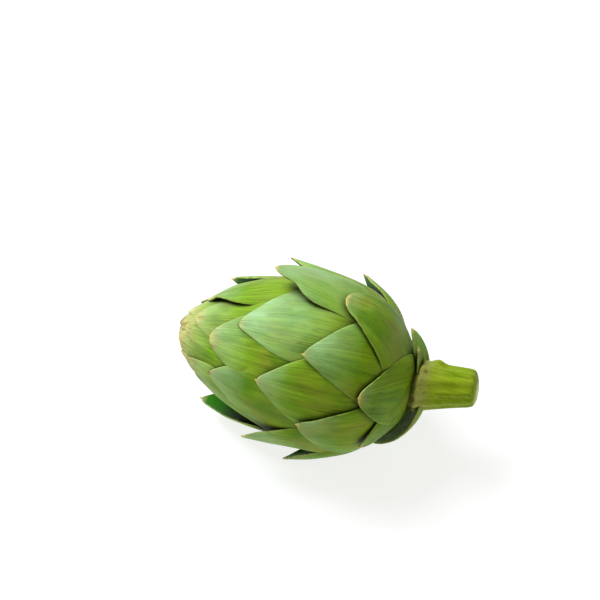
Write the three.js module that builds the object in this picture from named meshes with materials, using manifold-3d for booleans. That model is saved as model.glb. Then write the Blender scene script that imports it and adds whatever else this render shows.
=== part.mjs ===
// A globe artichoke picked with a short stem, lying on its side.
// Units are millimetres and +Z is up. The tip points to -X and a little up, the stem to +X.
//
// The head is described round its own axis: s runs from the neck to the tip, rho is the distance
// from the axis and psi the angle round it, 0 facing -Y and 90 degrees upwards.

import * as THREE from 'three';
import { mergeVertices } from 'three/addons/utils/BufferGeometryUtils.js';
import Module from 'manifold-3d';

const wasm = await Module();
wasm.setup();

const { sin, cos, min, max, exp, floor, hypot, atan2, PI } = Math;
const radians = THREE.MathUtils.degToRad;

// How the artichoke lies.
const NECK = new THREE.Vector3(39.94, -3.83, 38.6);   // where the head meets the stem, which puts
                                                  // the middle of the whole part over the origin
const TIP_UP = radians(3.2);                      // the axis rises a little towards the tip

// The head's outline, as the surface that the bracts' tips touch.
const HEAD_LENGTH = 111.5;
const HEAD_RADIUS = 43.5;
const OUTLINE_SKEW = 0.62;                        // below 1 moves the widest place towards the neck
const OUTLINE_FULLNESS = 0.53;                    // lower is more barrel-like
const NECK_PINCH = 0.28;                          // how much the outline draws in at the neck
const NECK_PINCH_LENGTH = 9;

// The receptacle and the tightly packed inside of the bud.
const CORE_INSET = 5.6;
const CORE_RINGS = 22;
const CORE_SIDES = 28;
const NECK_RADIUS = 12.8;

// The bracts. Number 0 is the outermost, at the neck.
const BRACT_COUNT = 44;
const GOLDEN_ANGLE = radians(137.508);
const FIRST_PSI = radians(54) - 14 * GOLDEN_ANGLE;
const BRACT_WIDTH = 42;                           // at the widest place
const BRACT_WIDEST = 36;                          // that far below its tip
const BRACT_LENGTH = 68;                          // of the long ones, the rest reach the neck
const ROOT_REACH = 4;                             // how far from the axis the lowest roots start
const ROOT_NARROWING = 0.4;
const TIP_WIDTH = 2.2;
const SINK_DEPTH = 6;                             // how far a long bract's root lies under the outline
const SINK_LENGTH = 46;                           // how far below its tip most of that is reached
const EDGE_THICKNESS = 1.4;
const MIDRIB_THICKNESS = 3.8;
const FREE_THICKNESS = 2.2;                       // of the bracts that stand off
const RIB_BELOW = 14;                             // the middle is at its thickest from here down
const CURL_RADIUS = 8;                            // a bract curls no tighter than this
const BLADE_ROWS = 8;
const BLADE_COLUMNS = 4;
const ROW_CROWDING = 1.35;                        // above 1 sets the rows closer near the tip

// Where the tips of the bracts reach along the axis: pairs of bract number and s.
const TIP_REACH = [[0, 9], [3, 18], [6, 24], [9, 38], [11, 49], [14, 54], [19, 72],
                   [22, 86], [27, 98], [35, 107.5], [43, 110.6]];

// Bracts that stand off the head or sit aside of the rule: degrees turned aside, s that the tip
// would reach if the bract lay close, degrees that it bends outwards and over what length.
const CHARACTER = {
  3: { aside: 8, reach: 16.3 },
  4: { reach: 3.2, width: 12 },
  6: { aside: 1.5, reach: 19.7 },
  7: { aside: -3, bend: 34, over: 30, reach: 40.4 },
  8: { aside: 1.5, bend: 26, over: 34, reach: 53.2 },
  9: { aside: 11.5, reach: 36.5 },
  11: { aside: 7.5, reach: 45.2 },
  12: { aside: 8, bend: 24, over: 40, reach: 69.5 },
  13: { aside: -7 },
  14: { aside: 1, reach: 48.7 },
  16: { aside: 4, bend: 22, over: 34, reach: 70.6 },
  17: { aside: 1.5, bend: 28, over: 42, reach: 71.7 },
  19: { aside: 8.5, reach: 67.5 },
  20: { aside: 8, bend: 22, over: 44, reach: 93.9 },
  21: { aside: -10.5, bend: 32, over: 54, reach: 95.4 },
  22: { aside: -6, reach: 82 },
  24: { aside: 24, reach: 91.4 },
  25: { aside: -9, reach: 101.3 },
  27: { aside: 10.5, reach: 93.8 },
  30: { aside: -18, reach: 103.4 },
  32: { aside: -7, reach: 104 },
};
const MISSING = [0, 1];

// The stem.
const STEM_GAP = 0.3;                             // between its top face and the head's underside
const STEM_LEAN = 0.2;                            // sideways for each millimetre away from the head
const STEM_LEAN_PSI = radians(141);
const STEM_SIDES = 44;
const STEM_RIBS = 11;
const STEM_RIB_DEPTH = 0.035;                     // as a share of the radius
// Its outline from the cut end to the top face, as radius and distance from the neck.
const STEM_OUTLINE = [[0, 30.2], [5, 30], [7.6, 29.3], [8.8, 28.2], [9.3, 22], [10.2, 14],
                      [11, 8], [11.5, 4], [12.4, STEM_GAP], [0, STEM_GAP]];
// The two leaves that grow on the stem, clear of the head. Each bends through three places in s
// and rho: a small one on top and a broad one below.
const STEM_LEAVES = [
  { psi: radians(138), width: 15, bend: [[-7, 7], [-3.5, 18], [6.3, 26]] },
  { psi: radians(-77), width: 30, bend: [[-7, 8], [-6, 22], [15, 39.5]] },
];

// Outline of the head at a share of its length.
function outlineRadius(share) {
  const s = share * HEAD_LENGTH;
  const barrel = max(0, sin(PI * share ** OUTLINE_SKEW)) ** OUTLINE_FULLNESS;
  return HEAD_RADIUS * barrel * (1 - NECK_PINCH * exp(-s / NECK_PINCH_LENGTH));
}

const OUTLINE_STEPS = 600;
const outline = [];
for (let k = 0, length = 0; k <= OUTLINE_STEPS; k++) {
  const share = (1 - cos(PI * k / OUTLINE_STEPS)) / 2;
  const s = share * HEAD_LENGTH;
  const rho = outlineRadius(share);
  if (k) length += hypot(s - outline[k - 1].s, rho - outline[k - 1].rho);
  outline.push({ s, rho, length });
}

function outlineAt(key, value) {
  let k = 1;
  while (k < OUTLINE_STEPS && outline[k][key] < value) k += 1;
  const [low, high] = [outline[k - 1], outline[k]];
  const part = (value - low[key]) / (high[key] - low[key]);
  return {
    s: low.s + part * (high.s - low.s),
    rho: low.rho + part * (high.rho - low.rho),
    length: low.length + part * (high.length - low.length),
    heading: atan2(high.rho - low.rho, high.s - low.s),
  };
}

// The line down the middle of a bract's outer face, from its root to its tip, in s and rho.
// It lies on the outline at the tip and sinks below it towards the root. A bent bract's steps
// are turned outwards more and more, so that it keeps its length.
const LINE_STEPS = 60;
function middleLine({ reach, length, bend, over }) {
  const line = [];
  let last;
  for (let k = 0; k <= LINE_STEPS; k++) {
    const below = length * (1 - k / LINE_STEPS);
    const on = outlineAt('length', reach - below);
    const depth = SINK_DEPTH * (1 - exp(-below / SINK_LENGTH));
    const close = { s: on.s + depth * sin(on.heading), rho: on.rho - depth * cos(on.heading) };
    if (k === 0) {
      line.push({ ...close, heading: on.heading });
    } else {
      const turn = bend * max(0, 1 - below / over);
      const [ds, drho] = [close.s - last.s, close.rho - last.rho];
      const { s, rho } = line[k - 1];
      line.push({
        s: s + ds * cos(turn) - drho * sin(turn),
        rho: rho + ds * sin(turn) + drho * cos(turn),
        heading: on.heading + turn,
      });
    }
    last = close;
  }
  return line;
}

function lineAt(line, share) {
  const place = min(share * LINE_STEPS, LINE_STEPS - 1e-9);
  const k = floor(place);
  const [low, high, part] = [line[k], line[k + 1], place - k];
  return {
    s: low.s + part * (high.s - low.s),
    rho: low.rho + part * (high.rho - low.rho),
    heading: low.heading + part * (high.heading - low.heading),
  };
}

// Half the width of a bract at a distance below its tip: a pointed arch, drawn in again at the root.
function halfWidth(below, length, width) {
  const arch = width / 2 * sin(PI / 2 * min(1, below / BRACT_WIDEST * BRACT_WIDTH / width));
  const root = THREE.MathUtils.smoothstep(below, BRACT_WIDEST, max(length, BRACT_WIDEST + 1));
  return max(TIP_WIDTH / 2, arch * (1 - ROOT_NARROWING * root));
}

// A closed blade. place(share, across, inner) gives its points, with share from 0 at the root to
// 1 at the tip and across from -1 to 1. Both faces are split into triangles alike.
function bladeGeometry(rows, columns, place) {
  const positions = [];
  const index = [];
  for (const inner of [0, 1]) {
    for (let i = 0; i <= rows; i++) {
      for (let j = 0; j <= columns; j++) positions.push(...place(i / rows, 2 * j / columns - 1, inner));
    }
  }
  const at = (inner, i, j) => (inner * (rows + 1) + i) * (columns + 1) + j;
  const quad = (a, b, c, d) => index.push(a, b, c, a, c, d);
  for (let i = 0; i < rows; i++) {
    for (let j = 0; j < columns; j++) {
      quad(at(0, i, j), at(0, i, j + 1), at(0, i + 1, j + 1), at(0, i + 1, j));
      index.push(at(1, i, j), at(1, i + 1, j + 1), at(1, i, j + 1));
      index.push(at(1, i, j), at(1, i + 1, j), at(1, i + 1, j + 1));
    }
    quad(at(0, i, 0), at(0, i + 1, 0), at(1, i + 1, 0), at(1, i, 0));
    quad(at(0, i + 1, columns), at(0, i, columns), at(1, i, columns), at(1, i + 1, columns));
  }
  for (let j = 0; j < columns; j++) {
    quad(at(0, 0, j + 1), at(0, 0, j), at(1, 0, j), at(1, 0, j + 1));
    quad(at(0, rows, j), at(0, rows, j + 1), at(1, rows, j + 1), at(1, rows, j));
  }
  const geometry = new THREE.BufferGeometry();
  geometry.setAttribute('position', new THREE.Float32BufferAttribute(positions, 3));
  geometry.setIndex(index);
  return geometry;
}

// Before it is laid down, the head stands on its neck: +Y is its axis, +X the side that ends up
// on top and +Z the side that ends up in front.
function standing(s, rho, psi) {
  return [rho * sin(psi), s, rho * cos(psi)];
}
const LIE = new THREE.Matrix4().makeBasis(
  new THREE.Vector3(sin(TIP_UP), 0, cos(TIP_UP)),
  new THREE.Vector3(-cos(TIP_UP), 0, sin(TIP_UP)),
  new THREE.Vector3(0, -1, 0),
).setPosition(NECK);

// A closed geometry as a solid that can be joined and cut, laid down.
function laidSolid(geometry) {
  geometry.deleteAttribute('normal');
  geometry.deleteAttribute('uv');
  const merged = mergeVertices(geometry.applyMatrix4(LIE), 1e-4);
  return new wasm.Manifold(new wasm.Mesh({
    numProp: 3,
    vertProperties: merged.attributes.position.array,
    triVerts: new Uint32Array(merged.index.array),
  }));
}

// A bract or leaf as a solid round a middle line.
function bladeSolid(line, length, psi, width, thickness) {
  return laidSolid(bladeGeometry(BLADE_ROWS, BLADE_COLUMNS, (share, across, inner) => {
    const below = length * (1 - share) ** ROW_CROWDING;
    const middle = lineAt(line, 1 - below / length);
    const rib = (thickness - EDGE_THICKNESS) * (1 - across ** 2) * min(1, below / RIB_BELOW);
    const sunk = inner * (EDGE_THICKNESS + rib);
    return standing(
      middle.s + sunk * sin(middle.heading),
      middle.rho - sunk * cos(middle.heading),
      psi + across * halfWidth(below, length, width) / max(middle.rho, CURL_RADIUS),
    );
  }));
}

// How far along the axis a bract's tip lies.
function reachOf(number) {
  const k = TIP_REACH.findIndex(([n]) => n >= number);
  if (k === 0) return TIP_REACH[0][1];
  const [[n0, s0], [n1, s1]] = [TIP_REACH[k - 1], TIP_REACH[k]];
  return s0 + (s1 - s0) * (number - n0) / (n1 - n0);
}

function bractSolid(number) {
  const { bend = 0, over = 30, aside = 0, reach, width = BRACT_WIDTH } = CHARACTER[number] ?? {};
  const tip = outlineAt('s', reach ?? reachOf(number)).length;
  const length = min(BRACT_LENGTH, tip - ROOT_REACH);
  const psi = FIRST_PSI + number * GOLDEN_ANGLE + radians(aside);
  const line = middleLine({ reach: tip, length, bend: radians(bend), over });
  return bladeSolid(line, length, psi, width, bend ? FREE_THICKNESS : MIDRIB_THICKNESS);
}

// A leaf on a curve of its own.
function looseLeafSolid({ psi, width, bend }) {
  const curve = new THREE.QuadraticBezierCurve(...bend.map(([s, rho]) => new THREE.Vector2(s, rho)));
  const line = curve.getSpacedPoints(LINE_STEPS).map(({ x, y }, k) => {
    const along = curve.getTangentAt(k / LINE_STEPS);
    return { s: x, rho: y, heading: atan2(along.y, along.x) };
  });
  return bladeSolid(line, curve.getLength(), psi, width, EDGE_THICKNESS);
}

// The core follows the outline inside the bracts, from a flat underside to a closed top.
function coreSolid() {
  const profile = [new THREE.Vector2(0, 0), new THREE.Vector2(NECK_RADIUS, 0)];
  const total = outline.at(-1).length;
  for (let k = 1; k < CORE_RINGS; k++) {
    const on = outlineAt('length', NECK_RADIUS + (total - NECK_RADIUS) * k / CORE_RINGS);
    const rho = on.rho - CORE_INSET * cos(on.heading);
    if (rho > 0) profile.push(new THREE.Vector2(rho, on.s + CORE_INSET * sin(on.heading)));
  }
  profile.push(new THREE.Vector2(0, HEAD_LENGTH - CORE_INSET));
  return laidSolid(new THREE.LatheGeometry(profile, CORE_SIDES));
}

// The stalk: a turned outline, ribbed lengthwise and leaning.
function stalkSolid() {
  const profile = STEM_OUTLINE.map(([radius, away]) => new THREE.Vector2(radius, -away));
  const geometry = new THREE.LatheGeometry(profile, STEM_SIDES);
  const positions = geometry.attributes.position;
  for (let k = 0; k < positions.count; k++) {
    const [x, s, z] = [positions.getX(k), positions.getY(k), positions.getZ(k)];
    const swell = 1 + STEM_RIB_DEPTH * cos(STEM_RIBS * atan2(x, z));
    const lean = -s * STEM_LEAN;
    positions.setXYZ(k, x * swell + lean * sin(STEM_LEAN_PSI), s, z * swell + lean * cos(STEM_LEAN_PSI));
  }
  return laidSolid(geometry);
}

// The largest piece of a solid, with its sealed hollows filled.
function wholeOf(solid) {
  return solid.decompose().reduce((a, b) => (b.volume() > a.volume() ? b : a));
}

function meshOf(name, solid, material) {
  const { vertProperties, triVerts } = solid.getMesh();
  const geometry = new THREE.BufferGeometry();
  geometry.setAttribute('position', new THREE.BufferAttribute(vertProperties, 3));
  geometry.setIndex(new THREE.BufferAttribute(triVerts, 1));
  geometry.computeVertexNormals();
  const mesh = new THREE.Mesh(geometry, material);
  mesh.name = name;
  return mesh;
}

const bractGreen = new THREE.MeshStandardMaterial({ color: 0x7fa64a, roughness: 0.5, metalness: 0 });
const stemGreen = new THREE.MeshStandardMaterial({ color: 0x8aa53a, roughness: 0.55, metalness: 0 });

let head = coreSolid();
for (let number = 0; number < BRACT_COUNT; number++) {
  if (!MISSING.includes(number)) head = head.add(bractSolid(number));
}

// Where the head lies, its lowest bracts are pressed flat.
const surface = new THREE.BoxGeometry(2 * HEAD_LENGTH, 2 * HEAD_LENGTH, HEAD_RADIUS);
surface.translate(0, 0, -HEAD_RADIUS / 2);
surface.applyMatrix4(LIE.clone().invert());
head = head.subtract(laidSolid(surface));

let stem = stalkSolid();
for (const leaf of STEM_LEAVES) stem = stem.add(looseLeafSolid(leaf));

const artichoke = new THREE.Group();
artichoke.add(meshOf('head', wholeOf(head), bractGreen));
artichoke.add(meshOf('stem', wholeOf(stem), stemGreen));
export default artichoke;
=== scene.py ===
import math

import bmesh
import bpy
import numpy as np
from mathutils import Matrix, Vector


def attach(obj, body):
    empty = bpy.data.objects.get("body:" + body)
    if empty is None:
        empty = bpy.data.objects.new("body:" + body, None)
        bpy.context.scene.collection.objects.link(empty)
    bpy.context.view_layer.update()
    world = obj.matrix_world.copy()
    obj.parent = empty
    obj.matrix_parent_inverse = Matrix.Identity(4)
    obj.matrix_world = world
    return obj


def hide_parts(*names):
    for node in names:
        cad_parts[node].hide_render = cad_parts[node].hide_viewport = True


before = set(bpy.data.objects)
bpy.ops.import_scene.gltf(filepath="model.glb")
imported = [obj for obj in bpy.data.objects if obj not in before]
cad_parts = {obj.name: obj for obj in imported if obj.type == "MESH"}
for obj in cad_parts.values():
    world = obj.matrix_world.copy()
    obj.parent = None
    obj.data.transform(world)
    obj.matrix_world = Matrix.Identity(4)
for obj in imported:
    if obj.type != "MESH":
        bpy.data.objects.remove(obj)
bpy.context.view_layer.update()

# A globe artichoke lying on its side, dressed for its looks.
# The bracts are thin blades laid round the head by the same rule as the solids: the golden angle
# from one to the next, tips on one outline, roots sunk below it.
# Places on the head are s, the way along its axis from neck to tip, rho, the distance from the axis,
# and psi, the turn round it from the front. They are millimetres and radians until laid() makes
# places in metres of them.

MM = 0.001

# How the artichoke lies: its neck, and how much its axis rises towards the tip.
NECK = np.array([39.94, -3.83, 38.6])
TIP_UP = math.radians(3.2)

# The outline that the tips touch.
HEAD_LENGTH = 111.5
HEAD_RADIUS = 43.5
OUTLINE_SKEW = 0.62                  # under 1 puts the widest place nearer to the neck
OUTLINE_FULLNESS = 0.53              # 1 is a sine, and less is rounder at both ends
NECK_PINCH = 0.28                    # share of the radius that the outline draws in at the neck
NECK_PINCH_LENGTH = 9.0
OUTLINE_STEPS = 600

# The core inside the bracts.
CORE_INSET = 5.6
TIP_INSET = 1.3                      # less at the tip, where it fills the gap inside the last bracts
INSET_CHANGE = (4, 12)               # from the tip, where one turns into the other
CORE_SIDES = 72

# The bracts, number 0 outermost.
BRACT_COUNT = 44
LAST_LARGE = 27                      # those with higher numbers are the small ones at the head's end
MISSING = (0, 1)                     # the collar is bare where these would grow
GOLDEN_ANGLE = math.radians(137.508)
FIRST_PSI = math.radians(54) - 14 * GOLDEN_ANGLE
BRACT_WIDTH = 42.0
BRACT_WIDEST = 36.0                  # from the tip to the widest place
BRACT_LENGTH = 86.0
BRACT_WIDTHS = [(26, BRACT_WIDTH), (34, 32), (44, 24), (60, 16)]
TIP_REACH = [(0, 9), (3, 18), (6, 24), (9, 38), (11, 49), (14, 54), (19, 72),
             (22, 86), (27, 98), (35, 107.5), (43, 110.6)]
ROOT_REACH = 4.0                     # how near to the neck a root may come
ROOT_NARROWING = 0.2
SINK_DEPTH = 6.0                     # how deep a blade sinks under the outline towards its root
SINK_LENGTH = 46.0
MIDRIB_THICKNESS = 3.2
FREE_THICKNESS = 2.0                 # of a bract that stands off
MARGIN_THICKNESS = 0.9
RIB_BELOW = 14.0                     # from the tip to where a blade has its full thickness
CURL_RADIUS = 8.0                    # a blade curls round the axis, but never tighter than this
BEND_OVER = 14                       # length over which a close bract's tip lifts
SMALL_BEND_OVER = 10
ROW_CROWDING = 1.35                  # over 1 puts more rows of faces near the tip
LINE_STEPS = 120

# Where bracts leave the rule. Aside is degrees round the head, bend is degrees that the end lifts,
# over that many millimetres, and reach is the tip's s. The other keys are fields of Blade.
CHARACTER = {
    3: dict(aside=8, reach=16.3, bloom_and_highlight_reach=0.3, blunt=2.0),
    4: dict(reach=3.0, width=12, blunt=1.5, bloom_and_highlight_reach=3.0),
    6: dict(aside=1.5, reach=19.7, bloom_and_highlight_reach=0.4, blunt=5.0, spine=0.4, flare=-1, flared=1.2),
    7: dict(aside=-3, bend=34, over=30, reach=40.4, cup=1.6, blunt=2.5),
    8: dict(aside=1.5, bend=26, over=34, reach=53.2, cup=1.8),
    9: dict(aside=11.5, reach=36.5, bloom_and_highlight_reach=0.4, blunt=8.0, spine=0.3, flare=-1, flared=1.5),
    11: dict(aside=7.5, reach=45.2, blunt=2.5, waves=3.0, uneven=-0.45, flare=1, flared=0.8),
    12: dict(aside=8, bend=24, over=40, reach=69.5, cup=1.6, blunt=2.5),
    13: dict(aside=-7),
    14: dict(aside=1, reach=48.7, bloom_and_highlight_reach=1.3, width=46, uneven=0.3),
    16: dict(aside=4, bend=22, over=34, reach=70.6, cup=1.2, blunt=2.0),
    17: dict(aside=1.5, bend=28, over=42, reach=71.7, bloom_and_highlight_reach=2.2, blunt=2.4, spine=0.5, waves=3.0,
             notch=0.3, uneven=0.3),
    19: dict(aside=8.5, reach=67.5, bloom_and_highlight_reach=0.7),
    20: dict(aside=8, bend=22, over=44, reach=93.9, cup=1.3),
    21: dict(aside=-10.5, bend=32, over=54, reach=95.4, cup=1.2, uneven=0.3),
    22: dict(aside=-6, reach=82, bloom_and_highlight_reach=2.2, width=45, uneven=0.35, blunt=2.6),
    24: dict(aside=24, reach=91.4),
    25: dict(aside=-9, reach=101.3, flare=-1, flared=2.6, crown=2.5, waves=3.0,
             uneven=0.22, spine=0.5),
    27: dict(aside=10.5, reach=93.8, blunt=5.0, spine=0.4),
    29: dict(bend=2),
    30: dict(aside=-18, reach=103.4),
    32: dict(aside=-7, reach=104, uneven=-0.45),
}

# Detail that the blades have over the solids. Pairs are distances from the tip, unless they say
# otherwise, between which a form comes or goes.
HEART_COUNT = 18                     # small bracts that close the tip inside the numbered ones
HEART_CROSSING = 2.5                 # how far the last of them reaches past the axis
SPINE_LENGTH = 1.4                   # the little point on each tip
SPINE_WIDTH = 0.8
TIP_ROUNDING = 2.0
SMALL_ROUNDING = 1.6                 # added to it on the small bracts
ROUNDING_LENGTH = 9
ROUND_MARGIN = 22                    # a high power keeps the rounding to the margin itself
ROUND_TIP = 0.9
CROWN = 0.7                          # how far a bract's middle stands out
CROWN_GOES = (30, 60)
WAVE = 0.22                          # gentle dents, from flat to crest
LARGE_DENTS = (5.3, 7.9)             # across and down
SMALL_DENTS = (2.9, 5.1)
MARGIN_WAVE = 0.018                  # as a share of the width
MARGIN_WAVE_LENGTH = 4.7
MARGIN_WAVE_COMES = (4, 16)
NOTCH_BELOW = 11
NOTCH_LENGTH = 4
NOTCH_ACROSS = (0, 0.6)              # share of the half width
FLARE_ACROSS = (0.3, 1.0)            # share of the half width
FLARE_COMES = (1, 9)
FLARE_GOES = (20, 34)
CUP_POWER = 6
CUP_COMES = (0, 9)
CUP_GOES = (30, 50)
BASE_FILL = 3.5                      # how far the roots swell round the neck
BASE_FILL_GOES = (8, 32)             # from the neck
ROOT_TUCK = 3.0                      # how far the other roots sink out of sight
ROOT_TUCK_COMES = (8, 25)            # from the neck, for the root's own place
ROOT_TUCK_LENGTH = 14
TIP_LIFT = 5.0                       # degrees that a close bract's tip stands off, at most
SMALL_LIFT = 22.0                    # the same for the small ones

# The stem.
STEM_LEAN = 0.2
STEM_LEAN_PSI = math.radians(141)
STEM_RIBS = 11
STEM_RIB_DEPTH = 0.035
STEM_SIDES = 132
CUT_SLANT = 1.5                      # the knife's slant, which leaves the top side shorter
CUT_RADIUS = 9
CUT_SLANT_COMES = (20, 30)           # from the neck
BUMP_HEIGHT = 1.8
BUMP_SPREAD = 3
BUMP_AWAY = 9.5
BUMP_PSI = math.radians(128)
LEAF_THICKNESS = 1.4
# The stalk's radius with the distance from the neck, from the middle of its cut face into the head.
STEM_OUTLINE = [(0, 30.2), (5, 30), (7.6, 29.3), (8.8, 28.2), (9.3, 22), (10.2, 14),
                (11, 8), (11.5, 5), (12.4, 3.2), (10.8, 1.6), (9.5, 0),
                (9.5, -9), (0, -9.2)]
# Each leaf's curve is a bend through three places, s and rho.
STEM_LEAVES = [
    dict(psi=math.radians(138), curve=[(-2.5, 7), (-2, 18), (6.3, 26)], width=9,
         bloom_and_highlight_reach=2.0, twist=math.radians(60), slender=3.0, blunt=0.5),
    dict(psi=math.radians(-77), curve=[(-7, 8), (-6, 22), (15, 39.5)], width=30, bloom_and_highlight_reach=0.05),
]

# What a blade's material needs to know at each point.
POINT_FACTS = ("seed", "young", "bloom_and_highlight_reach", "inner", "pressed", "margin")

# The photographer's lamps: azimuth, elevation, distance, size, power and colour.
LAMPS = {
    "key": (-115, 52, 1.3, 0.8, 25.0, (0.94, 1.0, 1.1)),
    "fill": (20, 60, 1.6, 1.2, 1.5, (1.0, 0.97, 0.8)),
    "side": (75, 25, 1.5, 1.0, 2.0, (1.0, 0.95, 0.55)),
}
LAMP_TARGET = Vector((0.0, 0.0, 0.04))
ROOM_LIGHT = (1.0, 0.97, 0.78, 1.0)
ROOM_STRENGTH = 0.22
TABLE_HALF = 6.0
CAMERA_LENS = 155.5
CAMERA_TARGET = Vector((-0.0188, 0.0154, 0.0597))
CAMERA_VIEW = (15, 50)
CAMERA_DISTANCE = 1.2

SEED = 7


def laid(s, rho, psi):
    """Places in metres for distances along the axis, away from it and round it."""
    along = np.array([-math.cos(TIP_UP), 0.0, math.sin(TIP_UP)])
    front = np.array([0.0, -1.0, 0.0])
    top = np.array([math.sin(TIP_UP), 0.0, math.cos(TIP_UP)])
    s, rho, psi = (np.asarray(value, dtype=float)[:, None] for value in (s, rho, psi))
    places = NECK + s * along + rho * (np.cos(psi) * front + np.sin(psi) * top)
    places[:, 2] = np.maximum(places[:, 2], 0.0)
    return places * MM


def ease(value, low, high):
    """From 0 at low to 1 at high, smoothly."""
    share = np.clip((value - low) / (high - low), 0, 1)
    return share * share * (3 - 2 * share)


def from_table(table, number):
    numbers, values = zip(*table)
    return float(np.interp(number, numbers, values))


# The outline as a table by length, from the neck to the tip.
share = (1 - np.cos(np.pi * np.arange(OUTLINE_STEPS + 1) / OUTLINE_STEPS)) / 2
OUTLINE_S = share * HEAD_LENGTH
OUTLINE_RHO = (HEAD_RADIUS * np.maximum(0, np.sin(np.pi * share ** OUTLINE_SKEW)) ** OUTLINE_FULLNESS
               * (1 - NECK_PINCH * np.exp(-OUTLINE_S / NECK_PINCH_LENGTH)))
steps = np.hypot(np.diff(OUTLINE_S), np.diff(OUTLINE_RHO))
OUTLINE_AT = np.concatenate([[0.0], np.cumsum(steps)])
OUTLINE_HEADING = np.arctan2(np.diff(OUTLINE_RHO), np.diff(OUTLINE_S))
HEADING_AT = (OUTLINE_AT[1:] + OUTLINE_AT[:-1]) / 2


def on_outline(length):
    """s, rho and heading at a length along the outline. Past its end it goes on across the axis."""
    past = np.maximum(0, length - OUTLINE_AT[-1])
    return (np.interp(length, OUTLINE_AT, OUTLINE_S),
            np.interp(length, OUTLINE_AT, OUTLINE_RHO) - past,
            np.interp(length, HEADING_AT, OUTLINE_HEADING))


def middle_line(reach, length, bend, over):
    """The line down a bract's outer face from root to tip: s, rho and heading at equal steps."""
    below = length * (1 - np.linspace(0, 1, LINE_STEPS + 1))
    s, rho, heading = on_outline(reach - below)
    depth = SINK_DEPTH * (1 - np.exp(-below / SINK_LENGTH))
    s, rho = s + depth * np.sin(heading), rho - depth * np.cos(heading)
    turn = bend * np.maximum(0, 1 - below / over)
    ds, drho = np.diff(s), np.diff(rho)
    cosine, sine = np.cos(turn[1:]), np.sin(turn[1:])
    s = s[0] + np.concatenate([[0], np.cumsum(ds * cosine - drho * sine)])
    rho = rho[0] + np.concatenate([[0], np.cumsum(ds * sine + drho * cosine)])
    return s, rho, heading + turn


def curved_line(curve):
    """The same for a leaf that bends through three places of its own, and its length."""
    t = np.linspace(0, 1, 4 * LINE_STEPS + 1)
    (s0, r0), (s1, r1), (s2, r2) = curve
    s = s0 * (1 - t) ** 2 + 2 * s1 * t * (1 - t) + s2 * t ** 2
    rho = r0 * (1 - t) ** 2 + 2 * r1 * t * (1 - t) + r2 * t ** 2
    at = np.concatenate([[0], np.cumsum(np.hypot(np.diff(s), np.diff(rho)))])
    even = np.linspace(0, at[-1], LINE_STEPS + 1)
    s, rho = np.interp(even, at, s), np.interp(even, at, rho)
    return (s, rho, np.arctan2(np.gradient(rho), np.gradient(s))), at[-1]


class Blade:
    """One bract or leaf: where it grows and how it is shaped."""
    width = BRACT_WIDTH
    thickness = MIDRIB_THICKNESS
    young = 0.0                      # 0 outermost, 1 at the head's end
    blunt = TIP_ROUNDING
    slender = 1.0                    # over 1 widens more slowly from the tip
    spine = 1.0                      # size of the point on its tip
    crown = CROWN
    waves = 1.0                      # along the margins
    uneven = 0.0                     # over 0 is wider on the side of growing psi
    notch = 0.0                      # how far one margin is drawn in
    flare = 0                        # the side whose margin stands out
    flared = 0.0                     # how far it does
    cup = 0.0                        # how far both margins roll in
    twist = 0.0                      # about its middle line
    from_neck = 0.0                  # its root's distance from the neck
    fill = 0.0
    tuck = 0.0
    # The next field sets how far down the bloom goes, and the painted highlight in it.
    bloom_and_highlight_reach = 1.0                       # how far down the bloom goes
    # The next field sets how much painted shade darkens its inner face.
    shade = 1.0                      # how much darker its inner face is
    # The next field sets how much painted shade it gets in creases, where it lies near other parts.
    pressed = 1.0                    # how much it darkens where it lies close

    def __init__(self, line, length, psi, **own):
        self.line = line
        self.length = length
        self.psi = psi
        for field, value in own.items():
            setattr(self, field, value)


def bract(number, draw):
    """The bract of a number, by the rule and by its own character."""
    own = dict(CHARACTER.get(number, {}))
    small = number > LAST_LARGE
    reach = float(np.interp(own.pop("reach", from_table(TIP_REACH, number)), OUTLINE_S, OUTLINE_AT))
    if number >= BRACT_COUNT:
        reach += (OUTLINE_AT[-1] + HEART_CROSSING - reach) * (number - BRACT_COUNT + 1) / HEART_COUNT
    length = min(BRACT_LENGTH, reach - ROOT_REACH)
    lift = draw.uniform(0.2, 1.0) * (SMALL_LIFT if small and number < BRACT_COUNT else TIP_LIFT)
    thickness = FREE_THICKNESS if "bend" in own else MIDRIB_THICKNESS
    bend = math.radians(own.pop("bend", lift))
    line = middle_line(reach, length, bend, own.pop("over", SMALL_BEND_OVER if small else BEND_OVER))
    psi = FIRST_PSI + number * GOLDEN_ANGLE + math.radians(own.pop("aside", 0))
    blade = Blade(line, length, psi, thickness=thickness, young=min(1.0, number / (BRACT_COUNT - 1)))
    blade.width = own.pop("width", from_table(BRACT_WIDTHS, number))
    blade.blunt = own.pop("blunt", TIP_ROUNDING + SMALL_ROUNDING * small)
    blade.from_neck = reach - length
    blade.fill = BASE_FILL
    blade.tuck = ROOT_TUCK * float(ease(blade.from_neck, *ROOT_TUCK_COMES))
    for field, value in own.items():
        setattr(blade, field, value)
    return blade


def stem_leaf(psi, curve, **own):
    """A leaf of the stem, alike on both faces, without the painted shade of the inner face or of the
    creases.
    """
    line, length = curved_line(curve)
    return Blade(line, length, psi, thickness=LEAF_THICKNESS, shade=0.0, pressed=0.0, **own)


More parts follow.
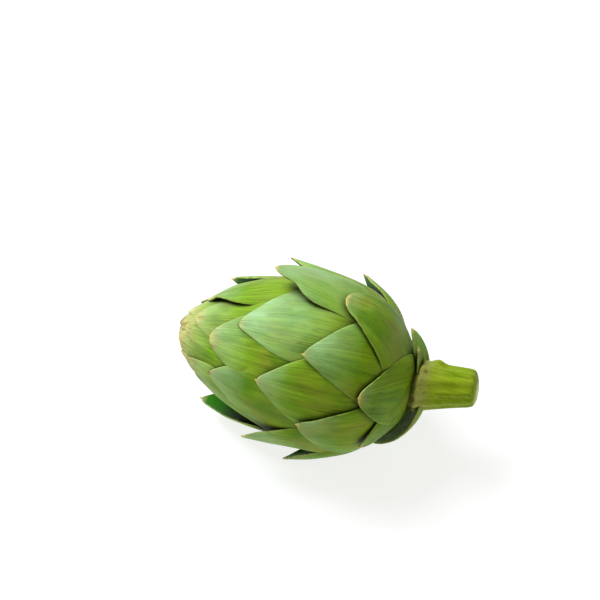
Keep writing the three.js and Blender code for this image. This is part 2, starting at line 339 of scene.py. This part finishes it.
def half_width(blade, below):
    """Half a blade's width: a pointed arch with a rounded top, a spine on it and a drawn-in root."""
    arch_below = np.maximum(0, below - SPINE_LENGTH * 0.8 * blade.spine)
    opened = arch_below / blade.slender / BRACT_WIDEST * BRACT_WIDTH / blade.width
    arch = blade.width / 2 * np.sin(np.pi / 2 * np.minimum(1, opened))
    arch = np.sqrt(arch ** 2 + 2 * blade.blunt * arch_below * np.exp(-arch_below / ROUNDING_LENGTH))
    drawn_in = ease(below, BRACT_WIDEST, max(blade.length, BRACT_WIDEST + 1))
    arch = arch * (1 - ROOT_NARROWING * drawn_in)
    spine = SPINE_WIDTH / 2 * np.minimum(1, 0.25 + below / SPINE_LENGTH / blade.spine)
    return np.maximum(spine, arch)


def bend_blade(blade, across, below, inner, phase):
    """s, rho and psi of a blade's points, and its half width there. Across runs from -1 to 1 between
    the margins, below is the distance from the tip, and inner is 1 on the inner face."""
    at = 1 - below / blade.length
    ticks = np.linspace(0, 1, len(blade.line[0]))
    s, rho, heading = (np.interp(at, ticks, values) for values in blade.line)
    middle_rho = rho

    half = half_width(blade, below)
    half *= 1 + blade.uneven * across
    nearness = np.exp(-((below - NOTCH_BELOW) / NOTCH_LENGTH) ** 2)
    half *= 1 - blade.notch * nearness * ease(-across, *NOTCH_ACROSS)
    side = np.where(across > 0, phase[0], phase[1])
    wave = np.sin(below / MARGIN_WAVE_LENGTH + side)
    half *= 1 + MARGIN_WAVE * blade.waves * wave * ease(below, *MARGIN_WAVE_COMES)
    aside = across * half

    # How far the point stands out from the middle line.
    ramp = np.minimum(1, below / RIB_BELOW)
    rounding = np.sqrt(np.maximum(0, 1 - np.abs(across) ** ROUND_MARGIN))
    rounding *= np.sqrt(np.minimum(1, below / ROUND_TIP))
    thick = MARGIN_THICKNESS + (blade.thickness - MARGIN_THICKNESS) * (1 - across ** 2) * ramp
    out = blade.crown * (1 - across ** 2) * ramp * (1 - ease(below, *CROWN_GOES))
    dents = np.sin(aside / LARGE_DENTS[0] + phase[2]) * np.sin(below / LARGE_DENTS[1] + phase[3])
    dents += 0.5 * np.sin(aside / SMALL_DENTS[0] + below / SMALL_DENTS[1] + phase[4])
    out += WAVE * ramp * dents
    flare = ease(across * blade.flare, *FLARE_ACROSS) * ease(below, *FLARE_COMES)
    out += blade.flared * flare * (1 - ease(below, *FLARE_GOES))
    out -= blade.cup * across ** CUP_POWER * ease(below, *CUP_COMES) * (1 - ease(below, *CUP_GOES))
    out += blade.fill * (1 - ease(blade.from_neck + blade.length - below, *BASE_FILL_GOES))
    out -= blade.tuck * ease(below, blade.length - ROOT_TUCK_LENGTH, blade.length)
    out -= MARGIN_THICKNESS / 2 * (1 - rounding)
    out -= inner * (thick - MARGIN_THICKNESS * (1 - rounding))
    out += aside * math.sin(blade.twist)
    s, rho = s - out * np.sin(heading), rho + out * np.cos(heading)

    # The blade curls sideways round the axis.
    curl = np.maximum(middle_rho, CURL_RADIUS)
    centre = middle_rho - curl
    turn = aside * math.cos(blade.twist) / curl
    outwards = centre + (rho - centre) * np.cos(turn)
    sideways = (rho - centre) * np.sin(turn)
    return s, np.hypot(sideways, outwards), blade.psi + np.arctan2(sideways, outwards), half


def blade_shells(count, columns, rows):
    """Flat closed shells from -1 to 1 both ways, numbered, to be bent into blades. Their faces are
    turned outwards while they are flat, and the bending keeps them so."""
    shells = bmesh.new()
    number = shells.verts.layers.int.new("number")
    for k in range(count):
        sheet = bmesh.ops.create_grid(shells, x_segments=columns, y_segments=rows, size=1.0)["verts"]
        faces = list({face for vert in sheet for face in vert.link_faces})
        copy = bmesh.ops.extrude_face_region(shells, geom=faces, use_keep_orig=True)["geom"]
        back = [part for part in copy if isinstance(part, bmesh.types.BMVert)]
        for vert in back:
            vert.co.z = -1.0
        for vert in sheet + back:
            vert[number] = k
    shells.normal_update()
    bmesh.ops.recalc_face_normals(shells, faces=shells.faces)
    mesh = bpy.data.meshes.new("shells")
    shells.to_mesh(mesh)
    shells.free()
    return mesh


def bend_blades(name, blades, columns, rows, draw):
    """One object of many blades, with what their material needs to know about each point."""
    mesh = blade_shells(len(blades), columns, rows)
    flat = np.empty(len(mesh.vertices) * 3)
    mesh.vertices.foreach_get("co", flat)
    flat = flat.reshape(-1, 3)
    number = np.empty(len(mesh.vertices), dtype=np.int32)
    mesh.attributes["number"].data.foreach_get("value", number)
    places = np.empty_like(flat)
    facts = {key: np.zeros(len(flat)) for key in POINT_FACTS + ("u", "v")}
    for k, blade in enumerate(blades):
        mine = number == k
        across = np.sin(flat[mine, 0] * np.pi / 2)
        below = blade.length * (1 - (flat[mine, 1] + 1) / 2) ** ROW_CROWDING
        inner = -flat[mine, 2]
        seed = draw.random()
        phase = draw.uniform(0, 2 * np.pi, 6)
        s, rho, psi, half = bend_blade(blade, across, below, inner, phase)
        places[mine] = laid(s, rho, psi)
        facts["seed"][mine] = seed
        facts["young"][mine] = blade.young
        facts["bloom_and_highlight_reach"][mine] = blade.bloom_and_highlight_reach
        facts["inner"][mine] = inner * blade.shade
        facts["pressed"][mine] = blade.pressed
        facts["margin"][mine] = (1 - np.abs(across)) * half
        facts["u"][mine] = across * half ** 0.6 * blade.width ** 0.4
        facts["v"][mine] = below

    mesh.vertices.foreach_set("co", places.ravel())
    for key in POINT_FACTS:
        mesh.attributes.new(key, "FLOAT", "POINT").data.foreach_set("value", facts[key])
    corner = np.empty(len(mesh.loops), dtype=np.int32)
    mesh.loops.foreach_get("vertex_index", corner)
    uv = np.stack([facts["u"][corner], facts["v"][corner]], axis=1) / 100
    mesh.uv_layers.new(name="Blade").data.foreach_set("uv", uv.ravel())

    closed = bmesh.new()
    closed.from_mesh(mesh)
    bmesh.ops.remove_doubles(closed, verts=closed.verts, dist=1e-7)
    bmesh.ops.dissolve_degenerate(closed, edges=closed.edges, dist=1e-8)
    return finish(name, closed, mesh)


def finish(name, shape, mesh=None):
    """Turns a bmesh into a smooth-shaded object of the scene."""
    mesh = mesh or bpy.data.meshes.new(name)
    shape.to_mesh(mesh)
    shape.free()
    mesh.name = name
    mesh.shade_smooth()
    piece = bpy.data.objects.new(name, mesh)
    bpy.context.collection.objects.link(piece)
    return piece


def turned(name, profile, sides, shape_point=None):
    """A turned body of (radius, s) pairs, its points then moved by shape_point(s, rho, psi)."""
    body = bmesh.new()
    verts = [body.verts.new((radius, 0.0, s)) for radius, s in profile]
    edges = [body.edges.new(pair) for pair in zip(verts, verts[1:])]
    bmesh.ops.spin(body, geom=verts + edges, cent=(0, 0, 0), axis=(0, 0, 1), angle=2 * math.pi,
                   steps=sides, use_merge=True)
    bmesh.ops.remove_doubles(body, verts=body.verts, dist=1e-4)
    x, y, s = np.array([vert.co[:] for vert in body.verts]).T
    radius, psi = np.hypot(x, y), np.arctan2(y, x)
    rho = radius
    if shape_point:
        s, rho, psi = shape_point(s, rho, psi)
    for vert, place in zip(body.verts, laid(s, rho, psi)):
        vert.co = place
    body.normal_update()
    bmesh.ops.recalc_face_normals(body, faces=body.faces)
    piece = finish(name, body)
    for key, values in (("along", s), ("radius", radius)):
        piece.data.attributes.new(key, "FLOAT", "POINT").data.foreach_set("value", values)
    return piece


def smooth_profile(points, step=0.7):
    """More points along a profile, rounding its corners a little."""
    points = np.array(points, dtype=float)
    for _ in range(2):
        cut = [points[0]]
        for a, b in zip(points, points[1:]):
            cut += [a * 0.75 + b * 0.25, a * 0.25 + b * 0.75]
        points = np.array(cut + [points[-1]])
    at = np.concatenate([[0], np.cumsum(np.hypot(*np.diff(points, axis=0).T))])
    even = np.linspace(0, at[-1], int(at[-1] / step))
    return np.stack([np.interp(even, at, points[:, 0]), np.interp(even, at, points[:, 1])], axis=1)


def stalk_point(s, rho, psi):
    """Slants the stalk's cut, ribs it lengthwise, swells the bump on its collar and leans it."""
    swell = 1 + STEM_RIB_DEPTH * np.cos(STEM_RIBS * psi)
    slant = np.cos(psi - BUMP_PSI) + 0.5
    s = s + CUT_SLANT * slant * rho / CUT_RADIUS * ease(-s, *CUT_SLANT_COMES)
    lean = -s * STEM_LEAN
    from_bump = (s + BUMP_AWAY) ** 2 + (rho * (psi - BUMP_PSI)) ** 2
    swell += BUMP_HEIGHT * np.exp(-from_bump / BUMP_SPREAD ** 2) / np.maximum(rho, 5)
    x = rho * swell * np.cos(psi) + lean * math.cos(STEM_LEAN_PSI)
    y = rho * swell * np.sin(psi) + lean * math.sin(STEM_LEAN_PSI)
    return s, np.hypot(x, y), np.arctan2(y, x)


# MATERIALS


def linear(code):
    """A colour given as sRGB hex, as the linear values that a node takes."""
    parts = [int(code[k:k + 2], 16) / 255 for k in (1, 3, 5)]
    return [c / 12.92 if c <= 0.04045 else ((c + 0.055) / 1.055) ** 2.4 for c in parts] + [1.0]


def add(tree, kind, feeds=None, stops=None, **settings):
    """Adds a node. Feeds gives an input, by name or number, a value or what drives it."""
    made = tree.nodes.new("ShaderNode" + kind)
    for key, value in settings.items():
        setattr(made, key, value)
    for key, value in (feeds or {}).items():
        named = [socket for socket in made.inputs if socket.enabled and socket.name == key]
        socket = named[0] if named else made.inputs[key]
        if isinstance(value, str):
            value = linear(value)
        if isinstance(value, bpy.types.Node):
            value = next(output for output in value.outputs if output.enabled)
        if isinstance(value, bpy.types.NodeSocket):
            tree.links.new(value, socket)
        else:
            socket.default_value = value
    for k, (place, colour) in enumerate(stops or []):
        element = made.color_ramp.elements[k] if k < 2 else made.color_ramp.elements.new(place)
        element.position = place
        element.color = linear(colour)
    return made


def new_material(name):
    material = bpy.data.materials.new(name)
    material.use_nodes = True
    material.node_tree.nodes.clear()
    return material, material.node_tree


def fresh_bract():
    """Fresh artichoke bract: a tough, waxen leaf with fine lengthwise fibres. It has a dull sheen, a pale
    powdery coat that rubs off, made stronger on one half of each blade as a painted highlight, a pale
    margin, a tan tip, and scratches that have turned brown. Painted shade darkens its inner faces and
    the creases where bracts lie together."""
    material, tree = new_material("Fresh bract")
    uv = add(tree, "UVMap", uv_map="Blade")
    split = add(tree, "SeparateXYZ", {0: uv})
    across, below = split.outputs[0], split.outputs[1]
    seed, young, bloom_and_highlight_reach, inner, crevice_shade_weight, margin = (
        add(tree, "Attribute", attribute_name=key).outputs["Fac"] for key in POINT_FACTS)
    place = add(tree, "CombineXYZ", {0: across, 1: below, 2: seed})

    # Patterns, by how many waves they have in 100 mm across and down, and by how much they change
    # from blade to blade.
    patterns = []
    for scale, detail, roughness in (
            ((125, 3.0, 50), 3.0, 0.6),        # fibres 0.8 mm apart, with finer ones between them
            ((34, 1.8, 30), 2.0, 0.5),         # bands of fibres, 3 mm apart
            ((11, 7, 90), 3.0, 0.6),           # clouds of 9 by 14 mm
            ((60, 14, 70), 5.0, 0.65),         # grazes of 2 by 7 mm
            ((160, 17, 20), 2.0, 0.5),         # scratches 6 mm long
            ((7, 5, 40), 2.0, 0.5)):           # patches of 15 to 20 mm
        at = add(tree, "VectorMath", {0: place, 1: scale}, operation="MULTIPLY")
        patterns.append(add(tree, "TexNoise", {"Vector": at, "Scale": 1.0, "Detail": detail,
                                               "Roughness": roughness}))
    fibres, bands, clouds, grazes, scratches, tints = patterns
    tint = add(tree, "SeparateColor", {0: tints.outputs["Color"]})

    # Green from the tip down, 60 mm in all: duller on the old outer bracts.
    down = add(tree, "MapRange", {0: below, 1: 0.0, 2: 0.6})
    wander = add(tree, "MapRange", {0: clouds, 1: 0.3, 2: 0.7, 3: -0.06, 4: 0.06})
    down = add(tree, "Math", {0: down, 1: wander}, operation="ADD")
    grown = add(tree, "ValToRGB", {0: down}, stops=[
        (0.0, "#939e40"), (1.0, "#7c8a28"), (0.1, "#74982c"), (0.35, "#739510"), (0.7, "#748e0c")])
    fresh = add(tree, "ValToRGB", {0: down}, stops=[
        (0.0, "#a89f4e"), (1.0, "#95a53c"), (0.14, "#97b952"), (0.4, "#7ba71e"), (0.7, "#87a62c")])
    youth = add(tree, "MapRange", {0: young, 1: 0.08, 2: 0.75})
    green = add(tree, "Mix", {0: youth, "A": grown, "B": fresh}, data_type="RGBA")

    # Olive and deep green patches.
    olive = add(tree, "MapRange", {0: tint.outputs[0], 1: 0.48, 2: 0.66, 3: 0.0, 4: 0.55})
    green = add(tree, "Mix", {0: olive, "A": green, "B": "#85882a"}, data_type="RGBA")
    deep = add(tree, "MapRange", {0: tint.outputs[1], 1: 0.48, 2: 0.66, 3: 0.0, 4: 0.6})
    green = add(tree, "Mix", {0: deep, "A": green, "B": "#4b7c0e"}, data_type="RGBA")

    # Fibres lighten and darken it, more in some patches than in others.
    streak = add(tree, "MapRange", {0: fibres, 1: 0.36, 2: 0.62, 3: 0.62, 4: 1.16})
    patchy = add(tree, "MapRange", {0: clouds, 1: 0.35, 2: 0.6, 3: 1.0, 4: 0.45})
    streak = add(tree, "Mix", {0: patchy, "A": 1.0, "B": streak})
    band = add(tree, "MapRange", {0: bands, 1: 0.3, 2: 0.7, 3: 0.93, 4: 1.07})
    streak = add(tree, "Math", {0: streak, 1: band}, operation="MULTIPLY")
    green = add(tree, "VectorMath", {0: green, 1: streak}, operation="MULTIPLY")

    # Bloom, in soft clouds near the tip and more on the young ones. It also carries a painted highlight:
    # it is stronger on one half of the blade, the side of growing psi, which faces up on the bracts in
    # view.
    bloom_and_highlight = add(tree, "MapRange", {0: clouds, 1: 0.4, 2: 0.7, 3: 0.45, 4: 0.9})
    upper = add(tree, "Math", {0: below, 1: bloom_and_highlight_reach}, operation="DIVIDE")
    upper = add(tree, "MapRange", {0: upper, 1: 0.04, 2: 0.22, 3: 1.0, 4: 0.0})
    # Painted highlight: more on the half of the blade on the side of growing psi.
    half = add(tree, "MapRange", {0: across, 1: -0.08, 2: 0.1, 3: 0.6, 4: 1.1})
    kept = add(tree, "MapRange", {0: young, 1: 0.1, 2: 0.45, 3: 0.35, 4: 1.0})
    for limit in (upper, half, kept):
        bloom_and_highlight = add(tree, "Math", {0: bloom_and_highlight, 1: limit}, operation="MULTIPLY")
    newest = add(tree, "MapRange", {0: young, 1: 0.55, 2: 0.8})
    bloom_and_highlight_colour = add(tree, "Mix", {0: newest, "A": "#a4ca94", "B": "#aab868"}, data_type="RGBA")
    green = add(tree, "Mix", {0: bloom_and_highlight, "A": green, "B": bloom_and_highlight_colour}, data_type="RGBA")

    # Painted shade: inner faces are darker and greener.
    green = add(tree, "Mix", {0: inner, "A": green, "B": "#2f7808"}, data_type="RGBA")

    # Thin dark scratches, most on the outer bracts, and brown grazes.
    scratch = add(tree, "MapRange", {0: scratches, 1: 0.63, 2: 0.69, 3: 0.0, 4: 0.65})
    rubbed = add(tree, "MapRange", {0: young, 1: 0.1, 2: 0.5, 3: 0.38, 4: 0.58})
    rubbed = add(tree, "Math", {0: tint.outputs[2], 1: rubbed}, operation="SUBTRACT")
    rubbed = add(tree, "MapRange", {0: rubbed, 1: 0.0, 2: 0.12})
    scratch = add(tree, "Math", {0: scratch, 1: rubbed}, operation="MULTIPLY")
    green = add(tree, "Mix", {0: scratch, "A": green, "B": "#3d4414"}, data_type="RGBA")
    graze = add(tree, "MapRange", {0: grazes, 1: 0.64, 2: 0.7, 3: 0.0, 4: 0.6})
    green = add(tree, "Mix", {0: graze, "A": green, "B": "#6d5f22"}, data_type="RGBA")

    # A thin margin, pale with brown stretches.
    edge = add(tree, "MapRange", {0: margin, 1: 0.15, 2: 0.7, 3: 0.5, 4: 0.0})
    worn = add(tree, "MapRange", {0: grazes, 1: 0.48, 2: 0.58})
    rim = add(tree, "Mix", {0: worn, "A": "#b3be66", "B": "#8a7a35"}, data_type="RGBA")
    green = add(tree, "Mix", {0: edge, "A": green, "B": rim}, data_type="RGBA")

    # The tip: tan, further down on young bracts, with brown specks and a brown point.
    tan_end = add(tree, "MapRange", {0: young, 1: 0.4, 2: 1.0, 3: 0.03, 4: 0.11})
    tan = add(tree, "MapRange", {0: below, 1: 0.004, 2: tan_end, 3: 0.75, 4: 0.0})
    speck = add(tree, "MapRange", {0: grazes, 1: 0.5, 2: 0.56, 3: 0.0, 4: 0.9})
    tip = add(tree, "Mix", {0: speck, "A": "#d6cf8e", "B": "#94683a"}, data_type="RGBA")
    green = add(tree, "Mix", {0: tan, "A": green, "B": tip}, data_type="RGBA")
    brown_end = add(tree, "MapRange", {0: young, 1: 0.6, 2: 1.0, 3: 0.02, 4: 0.045})
    spine = add(tree, "MapRange", {0: below, 1: 0.008, 2: brown_end, 3: 0.85, 4: 0.0})
    dark = add(tree, "MapRange", {0: seed, 1: 0.55, 2: 0.75})
    point = add(tree, "Mix", {0: dark, "A": "#d0bd68", "B": "#7d5a34"}, data_type="RGBA")
    green = add(tree, "Mix", {0: spine, "A": green, "B": point}, data_type="RGBA")

    # Painted shade: darker where bracts press together, in the creases between them.
    pressed = add(tree, "AmbientOcclusion", {"Distance": 0.007}, samples=8)
    pressed = add(tree, "MapRange", {0: pressed.outputs["AO"], 1: 0.3, 2: 0.94, 3: 0.18, 4: 1.0})
    pressed = add(tree, "Mix", {0: crevice_shade_weight, "A": 1.0, "B": pressed})
    green = add(tree, "VectorMath", {0: green, 1: pressed}, operation="MULTIPLY")

    height = add(tree, "Math", {0: clouds, 1: 1.5, 2: fibres}, operation="MULTIPLY_ADD")
    bump = add(tree, "Bump", {"Height": height, "Strength": 0.55, "Distance": 0.0006})
    rough = add(tree, "MapRange", {0: fibres, 1: 0.3, 2: 0.7, 3: 0.42, 4: 0.56})
    shader = add(tree, "BsdfPrincipled", {
        "Base Color": green, "Roughness": rough, "Normal": bump, "Specular IOR Level": 0.14,
        "Specular Tint": "#eaf0b8", "Subsurface Weight": 0.05, "Subsurface Scale": 0.003,
        "Subsurface Radius": (0.5, 1.0, 0.2)})
    add(tree, "OutputMaterial", {"Surface": shader})
    return material


def fresh_stalk():
    """Fresh cut stalk: yellow-green and ribbed lengthwise, greyer and scarred at the collar, with a
    pale moist cut face that has a ring of fibres round its pith."""
    material, tree = new_material("Fresh stalk")
    object_at = add(tree, "TexCoord").outputs["Object"]
    along = add(tree, "Attribute", attribute_name="along").outputs["Fac"]
    radius = add(tree, "Attribute", attribute_name="radius").outputs["Fac"]

    # Fibres 1 mm apart, clouds of 9 mm, scars of 3 mm and flecks of 1 mm.
    fibre_at = add(tree, "VectorMath", {0: object_at, 1: (24, 1100, 1100)}, operation="MULTIPLY")
    fibres = add(tree, "TexNoise", {"Vector": fibre_at, "Scale": 1.0, "Detail": 3.0, "Roughness": 0.6})
    clouds = add(tree, "TexNoise", {"Vector": object_at, "Scale": 110.0, "Detail": 4.0, "Roughness": 0.6})
    scars = add(tree, "TexNoise", {"Vector": object_at, "Scale": 330.0, "Detail": 4.0, "Roughness": 0.6})
    specks = add(tree, "TexNoise", {"Vector": object_at, "Scale": 1100.0, "Detail": 2.0})

    # The skin, and the collar near the head with its brown scars.
    skin = add(tree, "ValToRGB", {0: fibres}, stops=[(0.35, "#647f04"), (0.65, "#8da618")])
    pale = add(tree, "MapRange", {0: clouds, 1: 0.4, 2: 0.7, 3: 0.0, 4: 0.4})
    skin = add(tree, "Mix", {0: pale, "A": skin, "B": "#a0a83a"}, data_type="RGBA")
    edge = add(tree, "MapRange", {0: clouds, 1: 0.3, 2: 0.7, 3: -9.5, 4: -6.5})
    collar = add(tree, "Math", {0: along, 1: edge}, operation="SUBTRACT")
    collar = add(tree, "MapRange", {0: collar, 1: -2.0, 2: 3.0})
    skin = add(tree, "Mix", {0: collar, "A": skin, "B": "#989c4c"}, data_type="RGBA")
    scar = add(tree, "MapRange", {0: scars, 1: 0.54, 2: 0.64, 3: 0.0, 4: 0.85})
    scar = add(tree, "Math", {0: scar, 1: collar}, operation="MULTIPLY")
    skin = add(tree, "Mix", {0: scar, "A": skin, "B": "#75603c"}, data_type="RGBA")

    # The cut face, from the pith out.
    flesh = add(tree, "ValToRGB", {0: add(tree, "MapRange", {0: radius, 1: 0.0, 2: 9.0})}, stops=[
        (0.0, "#d3d9a4"), (1.0, "#7d9431"), (0.55, "#c3cd88"), (0.66, "#9aa84e"), (0.8, "#b9c673")])
    fleck = add(tree, "MapRange", {0: specks, 1: 0.35, 2: 0.65, 3: 0.86, 4: 1.08})
    flesh = add(tree, "VectorMath", {0: flesh, 1: fleck}, operation="MULTIPLY")
    cut = add(tree, "MapRange", {0: along, 1: -29.5, 2: -29.2, 3: 1.0, 4: 0.0})
    colour = add(tree, "Mix", {0: cut, "A": skin, "B": flesh}, data_type="RGBA")

    # Painted shade: darker in the crevice under the head.
    pressed = add(tree, "AmbientOcclusion", {"Distance": 0.006}, samples=8)
    pressed = add(tree, "MapRange", {0: pressed.outputs["AO"], 1: 0.2, 2: 0.8, 3: 0.3, 4: 1.0})
    colour = add(tree, "VectorMath", {0: colour, 1: pressed}, operation="MULTIPLY")

    bump = add(tree, "Bump", {"Height": fibres, "Strength": 0.5, "Distance": 0.0006})
    shader = add(tree, "BsdfPrincipled", {
        "Base Color": colour, "Roughness": 0.52, "Normal": bump, "Specular IOR Level": 0.15,
        "Specular Tint": "#dbe89a", "Subsurface Weight": 0.05, "Subsurface Scale": 0.003,
        "Subsurface Radius": (0.5, 1.0, 0.2)})
    add(tree, "OutputMaterial", {"Surface": shader})
    return material


def plain(name, colour, roughness, glow=0.0):
    """A smooth even surface: the dull flesh of the core, and the table."""
    material, tree = new_material(name)
    shader = add(tree, "BsdfPrincipled", {"Base Color": colour, "Roughness": roughness,
                                          "Emission Color": "#ffffff", "Emission Strength": glow})
    add(tree, "OutputMaterial", {"Surface": shader})
    return material


# THE ARTICHOKE

draw = np.random.default_rng(SEED)
bract_skin = fresh_bract()
stalk_skin = fresh_stalk()
core_flesh = plain("Core between the bracts", "#76742f", 0.7)

numbers = [n for n in range(BRACT_COUNT + HEART_COUNT) if n not in MISSING]
blades = {n: bract(n, draw) for n in numbers}
head_pieces = []
for name, first, end, columns, rows in (
        ("outer_bracts", 0, 14, 30, 56),
        ("middle_bracts", 14, 28, 28, 52),
        ("tip_bracts", 28, BRACT_COUNT, 24, 40),
        ("heart_bracts", BRACT_COUNT, BRACT_COUNT + HEART_COUNT, 18, 30)):
    chosen = [blades[n] for n in numbers if first <= n < end]
    head_pieces.append(bend_blades(name, chosen, columns, rows, draw))
    head_pieces[-1].data.materials.append(bract_skin)

heading = np.interp(OUTLINE_AT, HEADING_AT, OUTLINE_HEADING)
inset = TIP_INSET + (CORE_INSET - TIP_INSET) * ease(OUTLINE_AT[-1] - OUTLINE_AT, *INSET_CHANGE)
inside_s = OUTLINE_S + inset * np.sin(heading)
inside_rho = OUTLINE_RHO - inset * np.cos(heading)
kept = inside_rho > 1.0
core_profile = list(zip(inside_rho[kept][::12], inside_s[kept][::12]))
core_profile = [(0, core_profile[0][1])] + core_profile + [(0, core_profile[-1][1])]
core = turned("receptacle", smooth_profile(core_profile, 1.5), CORE_SIDES)
core.data.materials.append(core_flesh)
head_pieces.append(core)

stalk_profile = smooth_profile([(radius, -away) for radius, away in reversed(STEM_OUTLINE)])
stalk = turned("stalk", stalk_profile, STEM_SIDES, stalk_point)
stalk.data.materials.append(stalk_skin)
leaves = bend_blades("stem_leaves", [stem_leaf(**leaf) for leaf in STEM_LEAVES], 28, 50, draw)
leaves.data.materials.append(bract_skin)

for piece in head_pieces:
    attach(piece, "root")
    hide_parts("head")
for piece in (stalk, leaves):
    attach(piece, "root")
    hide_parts("stem")


# THE PHOTOGRAPHER'S TABLE


def direction(azimuth, elevation):
    a, e = math.radians(azimuth), math.radians(elevation)
    return Vector((math.sin(a) * math.cos(e), -math.cos(a) * math.cos(e), math.sin(e)))


def aimed(name, data, target, back, distance):
    """A lamp or camera at a distance back from its target, turned to look at it."""
    thing = bpy.data.objects.new(name, data)
    bpy.context.collection.objects.link(thing)
    thing.location = target + back * distance
    thing.rotation_euler = back.to_track_quat("Z", "Y").to_euler()
    return thing


table = bmesh.new()
bmesh.ops.create_grid(table, x_segments=1, y_segments=1, size=TABLE_HALF)
table = finish("table", table)
table.data.materials.append(plain("White table lit from below", "#8c8c8c", 0.8, 0.8))

for name, (azimuth, elevation, distance, size, power, colour) in LAMPS.items():
    lamp = bpy.data.lights.new(name, "AREA")
    lamp.size = size
    lamp.energy = power
    lamp.color = colour
    aimed(name, lamp, LAMP_TARGET, direction(azimuth, elevation), distance)

world = bpy.data.worlds.new("Bright room")
world.use_nodes = True
room = world.node_tree.nodes["Background"]
room.inputs["Color"].default_value = ROOM_LIGHT
room.inputs["Strength"].default_value = ROOM_STRENGTH
bpy.context.scene.world = world
bpy.context.scene.view_settings.view_transform = "Standard"

lens = bpy.data.cameras.new("camera")
lens.lens = CAMERA_LENS
camera = aimed("camera", lens, CAMERA_TARGET, direction(*CAMERA_VIEW), CAMERA_DISTANCE)
bpy.context.scene.camera = camera
